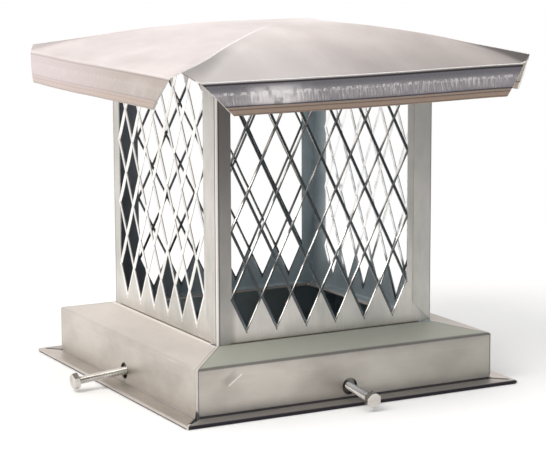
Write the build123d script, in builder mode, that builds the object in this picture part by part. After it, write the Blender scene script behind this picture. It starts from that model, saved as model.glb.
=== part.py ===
from build123d import *

import math
import os

# A square chimney cap that slips over a clay flue tile. Four mesh sides stand on four skirt sides, a crowned
# hood covers them, and four bolts screw in through the skirt to grip the tile.
# Millimetres, +Z up. The origin is the middle of the underside, level with the folded edges it rests on.
# Each side is drawn by its outward distance r, its distance along the side s and its height z.

# Sheet
sheet = 0.8  # thickness of every sheet piece
bend = 0.8  # inner radius of a bend
seam = 0.4  # gap between sheets that meet edge to edge
fold_slack = 0.05  # leaves a narrow flat along the tip of a folded edge
seat_gap = 0.3  # clearance of a flange under the curved hood, and of a tilted nut on its wall

# Skirt
skirt_width = 255.0  # over the upright walls
wall_height = 36.0  # from the flange up to the ledge
ledge_rise = 7.0  # how far the ledge climbs from the wall to the cage
flange_reach = 15.0  # flange, outwards from the wall
hem_height = 3.0  # height of the folded edge, which is what the cap rests on
hem_return = 8.0  # how far the folded edge comes back under the flange
lip = 12.0  # level strip inside the cage foot
skirt_lap = 15.0  # tab of each wall behind the next one
relief_length = 10.5  # corner slot of the flange, outwards from the wall corner
relief_width = 3.6

# Cage
cage_width = 186.0  # over the four mesh sides, without their lap tabs
screen_height = 203.2  # from the ledge to the bend line of the hood
mesh_lap = 16.5  # tab of each mesh side round the corner onto the next one
weld_flange = 10.0  # turned in at the head and foot of each mesh side
diamond_width = 25.4  # pitch of the mesh the short way
diamond_length = 50.8  # pitch of the mesh the long way
strand = 2.2  # width of one strand
sill = 8.5  # solid foot below the lowest knots
head_strip = 8.0  # least solid strip above the highest knots
side_border = 12.0  # solid strip at the end with the tab
plain_border = 10.0  # least solid strip at the other end

# Hood
hood_width = 298.6  # between opposite bend lines
crown_rise = 29.0  # from the bend lines to the crown
corner_cut = 14.1  # corner of the flat sheet cut off at 45 degrees, along each side
ridge_inset = 4.8  # outer end of a pinched ridge, back from both bend lines
ridge_height = 6.5  # height of that end above the bend lines
ridge_run = 68.5  # from there to where it runs out into the crown, along X and along Y
drip_height = 23.0
drip_splay = 6.0
drip_hem = 6.0  # bottom of the drip edge folded flat against its inside
ridge_overshoot = 1.25  # length of the wedge that hollows a ridge, over the ridge's own length

# Bolts and nuts, quarter inch thread
bolt_diameter = 6.35
bolt_length = 50.8
short_standoff = 31.5  # front and back bolts, from the wall to the underside of the head
long_standoff = 39.0  # left and right bolts, not screwed in as far
bolt_droop = 5.0  # degrees that the loose bolts hang below level
bolt_height = 9.0  # hole centre above the flange
hole_diameter = 12.7
thread_clearance = 0.05  # between bolt and nut, on the radius
hex_width = 11.1  # across flats, head and nut
head_height = 4.4
head_bevel = 1.0
tip_bevel = 0.9
nut_height = 5.6  # hexagon alone
nut_flange_width = 19.0
nut_flange_height = 1.5

# Worked out from the sizes above
skirt_half = skirt_width / 2
cage_half = cage_width / 2
hood_half = hood_width / 2
wall_top = hem_height + wall_height
foot_level = wall_top + ledge_rise
bend_level = foot_level + screen_height
crown_radius = (hood_half**2 + crown_rise**2) / (2 * crown_rise)
hole_level = hem_height + bolt_height
ridge_reach = hood_half - ridge_inset
ridge_root = ridge_reach - ridge_run
cut_margin = 5.0  # how far a cutting shape runs past what it cuts

sides = {"front": 0, "right": 90, "back": 180, "left": 270}


def outward(angle):
    """Direction that one side faces."""
    return Vector(0, -1, 0).rotate(Axis.Z, angle)


def along(angle):
    """Direction along one side, to the right for someone who looks at it from outside."""
    return Vector(1, 0, 0).rotate(Axis.Z, angle)


def section_plane(angle):
    """Upright plane across one side: X is r and Y is z."""
    return Plane(origin=(0, 0, 0), x_dir=outward(angle), z_dir=-along(angle))


def face_plane(angle, distance):
    """Upright plane that faces out of one side: X is s and Y is z."""
    return Plane(origin=outward(angle) * distance, x_dir=along(angle), z_dir=outward(angle))


def roof_level(distance):
    """Height of the crown's outer face, this far out from the middle of the hood."""
    sagitta = crown_radius - math.sqrt(crown_radius**2 - distance**2)
    return bend_level + crown_rise - sagitta


def flange_top(distance):
    """Height of a flange that lies just under the hood."""
    return roof_level(distance) - sheet - seat_gap


def keep(builder, name):
    builder.part.label = name
    export_step(builder.part, f"parts/{name}.step")


def bolt_plane(angle):
    """Plane across a bolt's axis at its wall hole, facing out along the drooping bolt."""
    droop = math.radians(bolt_droop)
    centre = outward(angle) * (skirt_half - sheet / 2) + Vector(0, 0, hole_level)
    axis = outward(angle) * math.cos(droop) - Vector(0, 0, math.sin(droop))
    return Plane(origin=centre, x_dir=along(angle), z_dir=axis)


def skirt_side(name, angle):
    """Ledge, wall and flange bent from one sheet, mitred at both ends."""
    outer_edge = skirt_half + flange_reach
    hem_radius = hem_height / 2 - fold_slack
    with BuildPart() as side:
        with BuildSketch(section_plane(angle)):
            with BuildLine():
                FilletPolyline(
                    (cage_half - lip, foot_level),
                    (cage_half + sheet, foot_level),
                    (skirt_half, wall_top),
                    (skirt_half, hem_height),
                    (outer_edge, hem_height),
                    (outer_edge, 0),
                    (outer_edge - hem_return, 0),
                    radius=[bend + sheet, bend + sheet, bend, hem_radius, hem_radius],
                )
                offset(amount=sheet, side=Side.RIGHT, mode=Mode.ADD)
            make_face()
        extrude(amount=outer_edge, both=True)

        # Ends mitred at 45 degrees, half the seam back from the corner line
        half_seam = seam / math.sqrt(2)
        reach = outer_edge + cut_margin
        with BuildSketch(Plane.XY.rotated((0, 0, angle))):
            Polygon((0, -half_seam), (-reach, -half_seam - reach), (reach, -half_seam - reach), align=None)
        extrude(amount=foot_level + cut_margin, mode=Mode.INTERSECT)

        # Corner slots of the flange
        corner = skirt_half
        with BuildSketch(Plane.XY.rotated((0, 0, angle))):
            for hand in (-1, 1):
                with Locations(Location((hand * corner, -corner), -90 + hand * 45)):
                    Rectangle(relief_length * math.sqrt(2), relief_width, align=(Align.MIN, Align.CENTER))
        extrude(amount=hem_height + bend, mode=Mode.SUBTRACT)

        # Tab behind the next wall, at the left end
        with BuildSketch(face_plane(angle - 90, skirt_half - 2 * sheet)):
            with Locations((skirt_half - seam, hem_height / 2)):
                Rectangle(skirt_lap, wall_height - 2 * bend, align=(Align.MAX, Align.MIN))
        extrude(amount=sheet)

        # Hole for the bolt
        with BuildSketch(face_plane(angle, skirt_half)):
            with Locations((0, hole_level)):
                Circle(hole_diameter / 2)
        extrude(amount=-2 * sheet, mode=Mode.SUBTRACT)
    keep(side, f"skirt_{name}")


def mesh_side(name, angle):
    """Screen with solid borders, a lap tab round its left corner and flanges turned in at head and foot."""
    cage_top = flange_top(cage_half + sheet)
    left_end = -cage_half - sheet
    right_end = cage_half - sheet - seam / 2
    columns = int((cage_width - side_border - plain_border) / diamond_width)
    rows = int((cage_top - foot_level - sill - head_strip) / diamond_length)
    field_width = columns * diamond_width
    field_middle = -cage_half + side_border + field_width / 2
    field_foot = foot_level + sill
    field_height = rows * diamond_length

    # An opening is the diamond between four strand middles, drawn in by half a strand
    half_width = diamond_width / 2
    half_length = diamond_length / 2
    inset = strand / 2 * math.hypot(half_width, half_length) / (half_width * half_length)
    gap_width = half_width * (1 - inset)
    gap_length = half_length * (1 - inset)
    gap = [(gap_width, 0), (0, gap_length), (-gap_width, 0), (0, -gap_length)]

    with BuildSketch() as openings:
        with GridLocations(diamond_width, diamond_length, columns, rows):
            Polygon(*gap, align=None)
        with GridLocations(diamond_width, diamond_length, columns + 1, rows - 1):
            Polygon(*gap, align=None)
        Rectangle(field_width, field_height, mode=Mode.INTERSECT)

    with BuildPart() as side:
        with BuildSketch(face_plane(angle, cage_half)):
            with Locations((left_end, foot_level)):
                Rectangle(right_end - left_end, cage_top - foot_level, align=(Align.MIN, Align.MIN))
            with Locations((field_middle, field_foot + field_height / 2)):
                add(openings.sketch, mode=Mode.SUBTRACT)
        extrude(amount=-sheet)

        # Lap tab, its foot cut at 45 degrees
        with BuildSketch(face_plane(angle - 90, cage_half)):
            Polygon(
                (cage_half, foot_level),
                (cage_half, cage_top),
                (cage_half - mesh_lap, cage_top),
                (cage_half - mesh_lap, foot_level + mesh_lap),
                align=None,
            )
        extrude(amount=sheet)

        # Weld flanges, which stop short of each other at the corners
        flange_end = cage_half - weld_flange - sheet
        inner_edge = cage_half - weld_flange
        with BuildSketch(section_plane(angle)):
            Polygon(
                (cage_half, foot_level),
                (inner_edge, foot_level),
                (inner_edge, foot_level + sheet),
                (cage_half, foot_level + sheet),
                align=None,
            )
            Polygon(
                (cage_half, flange_top(cage_half)),
                (inner_edge, flange_top(inner_edge)),
                (inner_edge, flange_top(inner_edge) - sheet),
                (cage_half, flange_top(cage_half) - sheet),
                align=None,
            )
        extrude(amount=flange_end, both=True)
    keep(side, f"mesh_{name}")


def hood_form(lowered, overshoot):
    """Solid under a crowned roof with four pinched ridges.

    The crown is where two barrel vaults cross. Lowered by the sheet and with its ridges run out past their
    ends by the overshoot, the same form hollows the hood and opens the ends of its ridges.
    """
    eave = bend_level - lowered
    crown = eave + crown_rise
    with BuildPart() as form:
        for angle, mode in ((0, Mode.ADD), (90, Mode.INTERSECT)):
            with BuildSketch(section_plane(angle)):
                with BuildLine():
                    ThreePointArc((-hood_half, eave), (0, crown), (hood_half, eave))
                    Line((hood_half, eave), (-hood_half, eave))
                make_face()
            extrude(amount=hood_half, both=True, mode=mode)

        # Corners of the flat sheet
        with BuildSketch(Plane.XY.offset(eave)) as blank:
            Rectangle(hood_width, hood_width)
            chamfer(blank.vertices(), corner_cut)
        extrude(amount=crown_rise + cut_margin, mode=Mode.INTERSECT)

        add(ridges(lowered, overshoot))
    return form.part


def ridges(lowered, overshoot):
    """Four pinched ridges, each a thin wedge from an open end at a corner to a point on the crown."""
    root = Vector(-ridge_root, -ridge_root, roof_level(ridge_root) - lowered)
    peak = Vector(-ridge_reach, -ridge_reach, bend_level + ridge_height - lowered)
    left_foot = Vector(-hood_half, -hood_half + corner_cut, bend_level - lowered)
    right_foot = Vector(-hood_half + corner_cut, -hood_half, bend_level - lowered)
    peak, left_foot, right_foot = (root + (point - root) * overshoot for point in (peak, left_foot, right_foot))
    width = right_foot - left_foot
    middle = (left_foot + right_foot) / 2
    end_plane = Plane(origin=middle, x_dir=width, z_dir=width.cross(peak - middle))
    with BuildPart() as ridge:
        with BuildSketch(end_plane) as end:
            Polygon(
                (-width.length / 2, 0),
                (width.length / 2, 0),
                (0, (peak - middle).length),
                align=None,
            )
        loft(sections=[end.sketch, Vertex(*root)])
    with BuildPart() as four:
        for angle in sides.values():
            add(ridge.part, rotation=(0, 0, angle))
    return four.part


def hood():
    """Crowned sheet with four drip edges."""
    drip_end = hood_half - corner_cut
    low = bend_level - drip_height
    slope = drip_splay / drip_height
    with BuildPart() as drip:
        with BuildSketch(section_plane(0)) as profile:
            Polygon(
                (hood_half, bend_level),
                (hood_half + drip_splay, low),
                (hood_half + drip_splay - 2 * sheet, low),
                (hood_half + drip_splay - 2 * sheet - slope * drip_hem, low + drip_hem),
                (hood_half + drip_splay - sheet - slope * drip_hem, low + drip_hem),
                (hood_half - sheet, bend_level),
                align=None,
            )
            fillet(profile.vertices().group_by(Axis.Y)[0], sheet - fold_slack)
        extrude(amount=drip_end, both=True)
        with BuildSketch(face_plane(0, hood_half)):
            Polygon(
                (-drip_end, bend_level),
                (drip_end, bend_level),
                (drip_end - drip_height, low),
                (-drip_end + drip_height, low),
                align=None,
            )
        extrude(amount=drip_splay + cut_margin, both=True, mode=Mode.INTERSECT)

    with BuildPart() as lid:
        add(hood_form(0, 1))
        add(hood_form(sheet, ridge_overshoot), mode=Mode.SUBTRACT)
        for angle in sides.values():
            add(drip.part, rotation=(0, 0, angle))
    keep(lid, "lid")


def nut(name, angle):
    """Nut with a round flange, fixed to the inside of the wall with its flange's upper edge against it."""
    droop = math.radians(bolt_droop)
    clearance = sheet / 2 + seat_gap + nut_flange_width / 2 * math.sin(droop)
    front = bolt_plane(angle).offset(-clearance / math.cos(droop))
    bore = bolt_diameter / 2 + thread_clearance
    with BuildPart() as piece:
        with BuildSketch(front):
            Circle(nut_flange_width / 2)
        extrude(amount=-nut_flange_height)
        with BuildSketch(front):
            RegularPolygon(hex_width / 2, 6, major_radius=False)
        extrude(amount=-nut_flange_height - nut_height)
        with BuildSketch(front):
            Circle(bore)
        extrude(amount=-nut_flange_height - nut_height, mode=Mode.SUBTRACT)
    keep(piece, f"nut_{name}")


def bolt(name, angle):
    """Hex head bolt, head outwards, its length under the head through the nut."""
    standoff = short_standoff if name in ("front", "back") else long_standoff
    seat = bolt_plane(angle).offset(sheet / 2 + standoff)
    radius = bolt_diameter / 2
    head_radius = hex_width / math.sqrt(3)
    with BuildPart() as piece:
        with BuildSketch(seat):
            RegularPolygon(hex_width / 2, 6, major_radius=False)
        extrude(amount=head_height)
        with BuildSketch(seat):
            Circle(radius)
        extrude(amount=-bolt_length)

        # Bevels of the head and of the tip, turned round the axis
        with BuildSketch(Plane(origin=seat.origin, x_dir=seat.x_dir, z_dir=-seat.y_dir)):
            Polygon(
                (0, -bolt_length),
                (radius - tip_bevel, -bolt_length),
                (radius, -bolt_length + tip_bevel),
                (radius, 0),
                (head_radius, 0),
                (head_radius, head_height - head_bevel * math.tan(math.radians(30))),
                (head_radius - head_bevel, head_height),
                (0, head_height),
                align=None,
            )
        revolve(axis=Axis(seat.origin, seat.z_dir), mode=Mode.INTERSECT)
    keep(piece, f"bolt_{name}")


os.makedirs("parts", exist_ok=True)
hood()
for side_name, side_angle in sides.items():
    skirt_side(side_name, side_angle)
    mesh_side(side_name, side_angle)
    nut(side_name, side_angle)
    bolt(side_name, side_angle)
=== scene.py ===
import math
from functools import partial

import bmesh
import bpy
from bpy.props import FloatProperty, FloatVectorProperty, IntProperty, PointerProperty
from bpy.types import Operator, Panel, PropertyGroup
from mathutils import Matrix, Vector, noise


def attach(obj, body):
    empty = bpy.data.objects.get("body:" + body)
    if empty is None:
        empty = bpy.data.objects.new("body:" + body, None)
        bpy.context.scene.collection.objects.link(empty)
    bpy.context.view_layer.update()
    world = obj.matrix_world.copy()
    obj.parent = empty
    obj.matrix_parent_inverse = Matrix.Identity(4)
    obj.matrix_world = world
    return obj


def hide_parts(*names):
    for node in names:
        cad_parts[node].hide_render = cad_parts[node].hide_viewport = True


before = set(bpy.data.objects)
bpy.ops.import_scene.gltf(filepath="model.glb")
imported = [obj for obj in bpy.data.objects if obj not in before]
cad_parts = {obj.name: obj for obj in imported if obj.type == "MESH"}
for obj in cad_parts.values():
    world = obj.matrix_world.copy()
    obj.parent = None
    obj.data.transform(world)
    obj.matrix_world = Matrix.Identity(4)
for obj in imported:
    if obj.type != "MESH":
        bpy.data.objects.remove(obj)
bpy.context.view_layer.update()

bl_info = {
    "name": "Mesh chimney cap",
    "version": (1, 0, 0),
    "blender": (4, 5, 0),
    "location": "View3D > Sidebar > Chimney cap",
    "description": "Stainless chimney cap with a crowned hood, mesh cage, flanged skirt and clamp bolts",
    "category": "Object",
}

MM = 0.001
SIDES = {"front": 0, "right": 90, "back": 180, "left": 270}
CAP = "cap"
TINY = 1e-7  # places that lie closer than this are the same
TO_THE_RIGHT = Vector((0.88, -0.47, 0))  # as someone sees it who stands before the front left corner


# Settings

def length(name, description, millimetres):
    """A size that the sidebar shows as a length."""
    return FloatProperty(
        name=name, description=description, default=millimetres * MM, unit="LENGTH", precision=5)


def turn(name, description, degrees):
    """An angle."""
    return FloatProperty(name=name, description=description, default=math.radians(degrees), subtype="ANGLE")


def hex_colour(code):
    """Linear colour from an sRGB hex value."""
    channels = [int(code[i:i + 2], 16) / 255 for i in (0, 2, 4)]
    return [c / 12.92 if c <= 0.04045 else ((c + 0.055) / 1.055) ** 2.4 for c in channels]


def colour(name, description, code):
    """A colour that the sidebar shows as a swatch."""
    return FloatVectorProperty(
        name=name, description=description, default=hex_colour(code), subtype="COLOR", size=3, min=0, max=1)


class SheetSettings(PropertyGroup):
    """Sizes that every sheet piece shares."""
    thickness: length("Thickness", "Thickness of the sheet", 0.8)
    bend: length("Bend", "Inner radius of a bend", 0.8)
    seam: length("Seam", "Gap between sheets that meet edge to edge", 0.4)


class HoodSettings(PropertyGroup):
    """Sizes and tones of the hood."""
    half_width: length("Half width", "From the middle to a bend line", 149.3)
    eave: length("Eave", "Height of the bend lines", 249.2)
    crown_rise: length("Crown rise", "From the bend lines to the crown", 29.0)
    corner_cut: length("Corner cut", "Corner of the flat sheet cut off, along each side", 14.1)
    ridge_reach: length("Ridge reach", "Outer end of a pinched ridge, along X and Y", 144.5)
    ridge_height: length("Ridge height", "Height of that end over the bend lines", 6.5)
    ridge_root: length("Ridge root", "Where a ridge runs out into the crown, along X and Y", 76.0)
    drip_height: length("Drip height", "Height of a drip edge", 23.0)
    drip_splay: length("Drip splay", "How far a drip edge leans out", 6.0)
    hem: length("Hem", "Bottom of the drip edge folded flat inside", 6.0)
    bow: length("Bow", "How far a drip edge bellies out", 0.5)
    centre: FloatVectorProperty(
        name="Centre", description="Where the folds of the crown meet", default=(14 * MM, -9 * MM), size=2,
        unit="LENGTH")
    wander: length("Wander", "How far the hand-formed sheet wanders from its true shape", 1.0)
    sag: length("Sag", "How low the left end of the front edge hangs", 2.4)
    lift: length("Lift", "How high the left edge sits", 1.1)
    offset: length("Offset", "How far to the right and forwards the hood sits on the cage", 1.4)
    corner_pull: length("Corner pull", "How far the left corners are bent sideways out of square", 3.5)
    drip_tone: colour("Drip edge", "Drip edge where the fold left it bright", "D6CBCB")
    # Also the painted highlight on the hood's bend lines and ridges
    scuff_and_painted_highlight_tone: colour("Scuffs", "Scuffed band of the drip edges", "F4F0EE")
    hem_tone: colour("Hem tone", "Folded hem of the drip edges", "BDA593")
    # Painted shade in the crease lines of the drip edges and beside the left front ridge
    painted_crease_shade_tone: colour("Crease tone", "Creases of the folding tool", "554B49")
    # Painted shade towards the front of the side drip edges and towards the right of the front panel
    painted_shade_tone: colour("Tarnish", "Tarnished sheet", "B0A79F")
    # Painted light on the left part of the front panel
    painted_light_tone: colour("Clean", "Cleanest part of the front panel", "FFFBF6")


class ScreenSettings(PropertyGroup):
    """Sizes of the four mesh sides."""
    half_width: length("Half width", "From the middle to a mesh side's outer face", 93.0)
    foot: length("Foot", "Height of the ledge that the cage stands on", 46.0)
    border: length("Border", "Solid strip at the end with the tab", 12.0)
    sill: length("Sill", "Solid foot under the lowest knots", 8.5)
    lap: length("Lap", "Tab round the corner onto the next side", 16.5)
    weld_flange: length("Weld flange", "Turned in at head and foot", 10.0)
    seat: length("Seat", "Gap under the hood", 0.3)
    columns: IntProperty(name="Columns", description="Diamonds across", default=6, min=1)
    rows: IntProperty(name="Rows", description="Diamonds up", default=4, min=1)
    diamond_width: length("Diamond width", "Pitch of the mesh the short way", 25.4)
    diamond_length: length("Diamond length", "Pitch of the mesh the long way", 50.8)
    strand: length("Strand", "Width of one strand", 2.2)
    turn_left: turn("Turn, leaning left", "How far stretching turned the strands that lean left", 8)
    turn_right: turn("Turn, leaning right", "How far it turned the strands that lean right", 38)


class SkirtSettings(PropertyGroup):
    """Sizes of the four skirt sides."""
    half_width: length("Half width", "From the middle to a wall's outer face", 127.5)
    lip: length("Lip", "Level strip inside the cage foot", 12.0)
    wall_top: length("Wall top", "Height of the bend between wall and ledge", 39.0)
    flange_level: length("Flange level", "Height of the flange's top face", 3.0)
    flange_reach: length("Flange reach", "Flange, outwards from the wall", 15.0)
    hem_return: length("Hem return", "How far the folded edge comes back under the flange", 8.0)
    lap: length("Lap", "Tab of each wall behind the next one", 15.0)
    slot_length: length("Slot length", "Corner slot of the flange, outwards from the wall corner", 10.5)
    slot_width: length("Slot width", "Width of the corner slot", 3.6)
    hole: length("Hole", "Radius of the bolt hole", 6.35)
    hole_level: length("Hole level", "Height of the hole's centre", 12.0)
    wander: length("Wander", "How far the sheet wanders from flat", 0.5)


class FastenerSettings(PropertyGroup):
    """Sizes of the clamp bolts and their nuts."""
    radius: length("Radius", "Outer radius of the thread", 3.175)
    pitch: length("Pitch", "Pitch of the thread", 1.27)
    depth: length("Depth", "Depth of the thread", 0.75)
    bolt_length: length("Bolt length", "Length under the head", 50.8)
    short_standoff: length("Short standoff", "Front and back, from the wall to under the head", 31.5)
    long_standoff: length("Long standoff", "Left and right, from the wall to under the head", 39.0)
    droop: turn("Droop", "How far the bolts hang below level", 5)
    hexagon: length("Hexagon", "Across flats", 11.1)
    head_height: length("Head height", "Height of the hex head", 4.4)
    nut_height: length("Nut height", "Hexagon of the nut alone", 5.6)
    nut_flange: length("Nut flange", "Radius of the nut's flange", 9.5)
    nut_flange_height: length("Nut flange height", "Thickness of the nut's flange", 1.5)
    clearance: length("Clearance", "Between bolt and nut, on the radius", 0.05)


class ColourSettings(PropertyGroup):
    """Colours of the metals and of the studio."""
    hood: colour("Hood", "Hood sheet", "E9E1DE")
    hood_dull: colour("Hood, dull", "Hood sheet where it is handled", "DFD6D3")
    skirt: colour("Skirt", "Skirt sheet", "CFC9C1")
    skirt_dull: colour("Skirt, dull", "Skirt sheet where it is handled", "B8B2AA")
    screen: colour("Screen", "Screen sheet", "D9D5CF")
    screen_dull: colour("Screen, dull", "Screen sheet where it is handled", "BEBDB7")
    # Darker copy of the strand metal: painted shade on the front and back strands
    strand: colour("Strand faces", "Rolled faces of the front and back strands", "62676A")
    painted_shade_strand_dull: colour("Strand faces, dull", "The same where they are handled", "4D5356")
    # Brighter copy of the strand metal: painted highlight on the left strands
    bright: colour("Bright strands", "Rolled faces of the left strands", "FBFAF8")
    sheared: colour("Sheared edges", "Sheared edges of the strands", "E4E1DC")
    # Teal, darker copy of the screen metal: painted shade on the inside faces
    inside: colour("Inside", "Inside faces of the screens", "B9C6CB")
    painted_inside_shade: colour("Inside, dull", "Inside faces where soot has dulled them", "9BAAB0")
    inside_metal: FloatProperty(
        name="Inside metal", description="How metallic the inside faces look", default=0.45, min=0, max=1)
    # Dust on the side ledges and the scratch, and painted highlight on corners, seams and the cage's foot
    dust_and_painted_highlight: colour("Dust", "Dust on the ledges, and edges rubbed bright", "F4EEE8")
    # Painted shade on the front and back ledges
    painted_ledge_shade: colour("Ledge, dull", "Front and back ledges", "C0C4B8")
    # Painted shade towards the right end of the front wall
    wear_and_painted_shade: colour("Worn", "Worn end of the front wall", "A8A79D")
    # Dull patches beside the scratch and on the nuts, and painted shade on the front and back flanges and
    # front left post
    grime_and_painted_shade: colour("Grime", "Front and back flanges", "6E6968")
    # Painted shade in folds, seams and bends, and inside the cage
    painted_dark_shade: colour("Dirt", "Dirt in folds and seams", "2B2730")
    # Darker copy of the skirt metal: painted shade inside the skirt
    painted_skirt_shade: colour("Soot", "Inside of the skirt", "8D9699")
    bolt: colour("Bolt", "Bolts", "E6E4E0")
    # Darker copy of the bolt metal: painted shade on the nuts inside the walls
    nut: colour("Nut", "Nuts inside the walls", "7A7775")
    # Also the pale copy of the right strands, a painted reflection of the white wall
    floor: colour("Floor", "Studio floor, and strands that mirror its white wall", "FBFBFA")
    sky_behind: colour("Sky behind", "Bright side of the studio, behind the cap", "FFFAF9")
    sky_front: colour("Sky in front", "Dim side of the studio, in front of the cap", "6C7177")
    sky_top: colour("Sky above", "Dim top of the studio", "BBBCBD")
    sky_zenith: colour("Sky overhead", "Dark ceiling of the studio", "4C4D50")


class CapSettings(PropertyGroup):
    """Everything that can be set."""
    sheet: PointerProperty(type=SheetSettings)
    hood: PointerProperty(type=HoodSettings)
    screen: PointerProperty(type=ScreenSettings)
    skirt: PointerProperty(type=SkirtSettings)
    fastener: PointerProperty(type=FastenerSettings)
    colours: PointerProperty(type=ColourSettings)


# Mesh helpers

def held(value, low=0, high=1):
    """The value, kept between two limits."""
    return min(high, max(low, value))


def placed(name, data):
    """Object in the scene that shows this mesh, lamp or camera."""
    made = bpy.data.objects.new(name, data)
    bpy.context.scene.collection.objects.link(made)
    return made


def lay_flat(mesh, places):
    """Gives each point its place on the flat sheet."""
    layer = mesh.uv_layers.new(name="flat_sheet")
    for loop in mesh.loops:
        layer.data[loop.index].uv = places[loop.vertex_index]


def written(bm, mesh):
    """Writes an edited mesh back and lets the edit go."""
    bm.to_mesh(mesh)
    bm.free()
    return mesh


def finished(name, mesh, materials, sharp=35):
    """Object with these materials, smooth but for edges sharper than this many degrees."""
    mesh.shade_smooth()
    mesh.set_sharp_from_angle(angle=math.radians(sharp))
    kinds = [face.material_index for face in mesh.polygons]
    mesh.materials.clear()
    for material in materials:
        mesh.materials.append(material)
    mesh.polygons.foreach_set("material_index", kinds)
    return placed(name, mesh)


def evaluated(source):
    """Plain mesh of an object with its modifiers applied; the object is then removed."""
    graph = bpy.context.evaluated_depsgraph_get()
    mesh = bpy.data.meshes.new_from_object(source.evaluated_get(graph), depsgraph=graph)
    source.modifiers.clear()
    bpy.data.objects.remove(source)
    return mesh


def joined(name, meshes, sharp=35):
    """One piece from several meshes, each with its own materials."""
    bm = bmesh.new()
    materials = []
    for mesh in meshes:
        first = len(bm.faces)
        bm.from_mesh(mesh)
        bm.faces.ensure_lookup_table()
        for face in bm.faces[first:]:
            material = mesh.materials[face.material_index]
            if material not in materials:
                materials.append(material)
            face.material_index = materials.index(material)
    return finished(name, written(bm, bpy.data.meshes.new(name)), materials, sharp)


class Shell:
    """Points, faces and flat-sheet places of one piece as it is put together."""

    def __init__(self):
        self.points = []
        self.flat = []
        self.faces = []
        self.inner = set()

    def point(self, place, flat=(0, 0)):
        self.points.append(Vector(place))
        self.flat.append(flat)
        return len(self.points) - 1

    def quads(self, first, second, inner=False):
        """Faces between two rows of as many points."""
        for i in range(len(first) - 1):
            if inner:
                self.inner.add(len(self.faces))
            self.faces.append((first[i], second[i], second[i + 1], first[i + 1]))

    def piece(self, name, material, sharp=35, inside=None):
        """One object with its normals out, and another material on its inner faces."""
        mesh = bpy.data.meshes.new(name)
        mesh.from_pydata(self.points, [], self.faces)
        for index in self.inner:
            mesh.polygons[index].material_index = 1
        lay_flat(mesh, self.flat)
        bm = bmesh.new()
        bm.from_mesh(mesh)
        bmesh.ops.remove_doubles(bm, verts=bm.verts, dist=0.01 * MM)
        bmesh.ops.dissolve_degenerate(bm, edges=bm.edges, dist=0.001 * MM)
        bmesh.ops.recalc_face_normals(bm, faces=bm.faces)
        return finished(name, written(bm, mesh), [material, inside] if inside else [material], sharp)


def side_place(angle, r, s, z):
    """Point r out from the middle, s along the side and z up."""
    a = math.radians(angle)
    return Vector((r * math.sin(a) + s * math.cos(a), s * math.sin(a) - r * math.cos(a), z))


def axes_at(place, x, y, z):
    """Takes X, Y and Z to these directions, at this place."""
    return Matrix.Translation(place) @ Matrix((x, y, z)).transposed().to_4x4()


def side_matrix(angle, distance):
    """Takes X to along the side, Y to up and Z to out of the side, at this distance."""
    out = side_place(angle, 1, 0, 0)
    return axes_at(out * distance, side_place(angle, 0, 1, 0), Vector((0, 0, 1)), out)


def bent(corners, radii, steps):
    """Points and right-hand normals along a path of straight runs with rounded corners."""
    path = [Vector(c) for c in corners]
    samples = []

    def add_sample(p, direction):
        samples.append((p, Vector((direction.y, -direction.x))))

    add_sample(path[0], (path[1] - path[0]).normalized())
    for i, radius in enumerate(radii, 1):
        before = (path[i] - path[i - 1]).normalized()
        after = (path[i + 1] - path[i]).normalized()
        angle = math.atan2(before.x * after.y - before.y * after.x, before.dot(after))
        start = path[i] - before * radius * math.tan(abs(angle) / 2)
        centre = start + Vector((-before.y, before.x)) * math.copysign(radius, angle)
        for k in range(steps + 1):
            turned = Matrix.Rotation(angle * k / steps, 2)
            add_sample(centre + turned @ (start - centre), turned @ before)
    add_sample(path[-1], (path[-1] - path[-2]).normalized())
    return samples


def refined(samples, longest):
    """The same path with its long runs divided."""
    out = [samples[0]]
    for (p0, n0), (p1, n1) in zip(samples, samples[1:]):
        count = max(1, math.ceil((p1 - p0).length / longest))
        for k in range(1, count + 1):
            t = k / count
            out.append((p0.lerp(p1, t), n1 if k == count else n0.lerp(n1, t).normalized()))
    return out


# Nodes

# Kinds of node that serve often, each with its setting
PLUS = ("ShaderNodeMath", {"operation": "ADD"})
MINUS = ("ShaderNodeMath", {"operation": "SUBTRACT"})
TIMES = ("ShaderNodeMath", {"operation": "MULTIPLY"})
OVER = ("ShaderNodeMath", {"operation": "DIVIDE"})
REMAINDER = ("ShaderNodeMath", {"operation": "MODULO"})
POWER = ("ShaderNodeMath", {"operation": "POWER"})
ROOT = ("ShaderNodeMath", {"operation": "SQRT"})
SIZE_OF = ("ShaderNodeMath", {"operation": "ABSOLUTE"})
FLOORED = ("ShaderNodeMath", {"operation": "FLOOR"})
ROUNDED = ("ShaderNodeMath", {"operation": "ROUND"})
FRACTION = ("ShaderNodeMath", {"operation": "FRACT"})
COSINE = ("ShaderNodeMath", {"operation": "COSINE"})
BEARING = ("ShaderNodeMath", {"operation": "ARCTAN2"})
LESS = ("ShaderNodeMath", {"operation": "LESS_THAN"})
MORE = ("ShaderNodeMath", {"operation": "GREATER_THAN"})
LARGER = ("ShaderNodeMath", {"operation": "MAXIMUM"})
SMALLER = ("ShaderNodeMath", {"operation": "MINIMUM"})
EVEN_RANGE = ("ShaderNodeMapRange", {"interpolation_type": "LINEAR"})
SOFT_RANGE = ("ShaderNodeMapRange", {"interpolation_type": "SMOOTHSTEP"})
LAYER = ("ShaderNodeMix", {"data_type": "RGBA"})
FADING = (1.0, 0.0)  # what a range gives at its low and its high end, where it doesn't rise from 0 to 1


def result(node):
    """The first output of a node that is in use."""
    return next(socket for socket in node.outputs if socket.enabled)


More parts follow.
